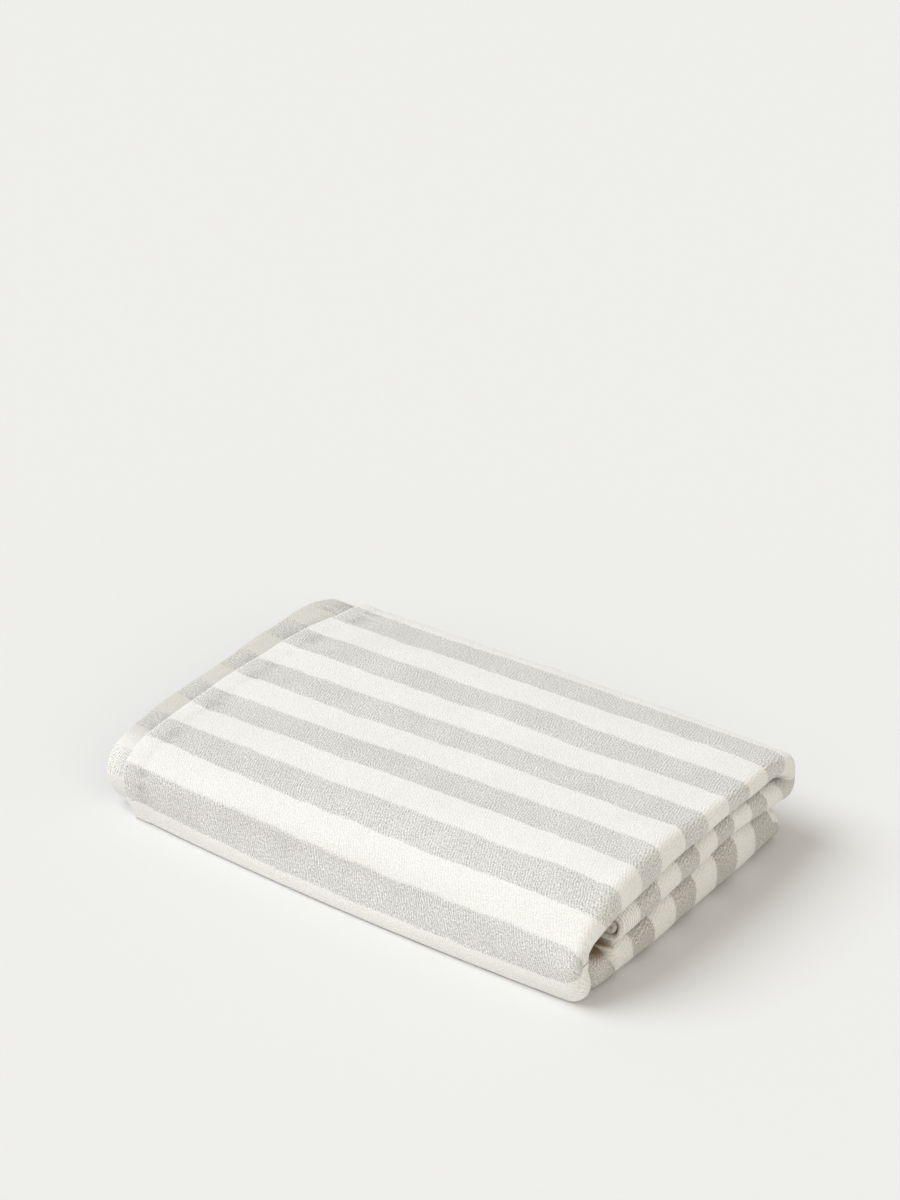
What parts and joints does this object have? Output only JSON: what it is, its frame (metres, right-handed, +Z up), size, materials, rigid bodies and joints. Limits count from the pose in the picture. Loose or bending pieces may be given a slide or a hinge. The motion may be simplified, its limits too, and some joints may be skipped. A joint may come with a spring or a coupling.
{
  "type": "bath towel",
  "caption": "Folded bath towel in soft cotton pile, off-white with light grey stripes, laid flat with a rounded front fold.",
  "frame": {"origin": "centre of the folded towel's box, on the surface it lies on", "axes": "+X along the stripes toward the turned end, +Y from the rounded front fold to the back, +Z up"},
  "size_m": [0.357, 0.2336, 0.0646],
  "materials": {
    "cotton": "soft cotton velour pile, off-white with light grey stripes"
  },
  "bodies": {
    "root": {"towel": "cotton"}
  },
  "joints": []
}
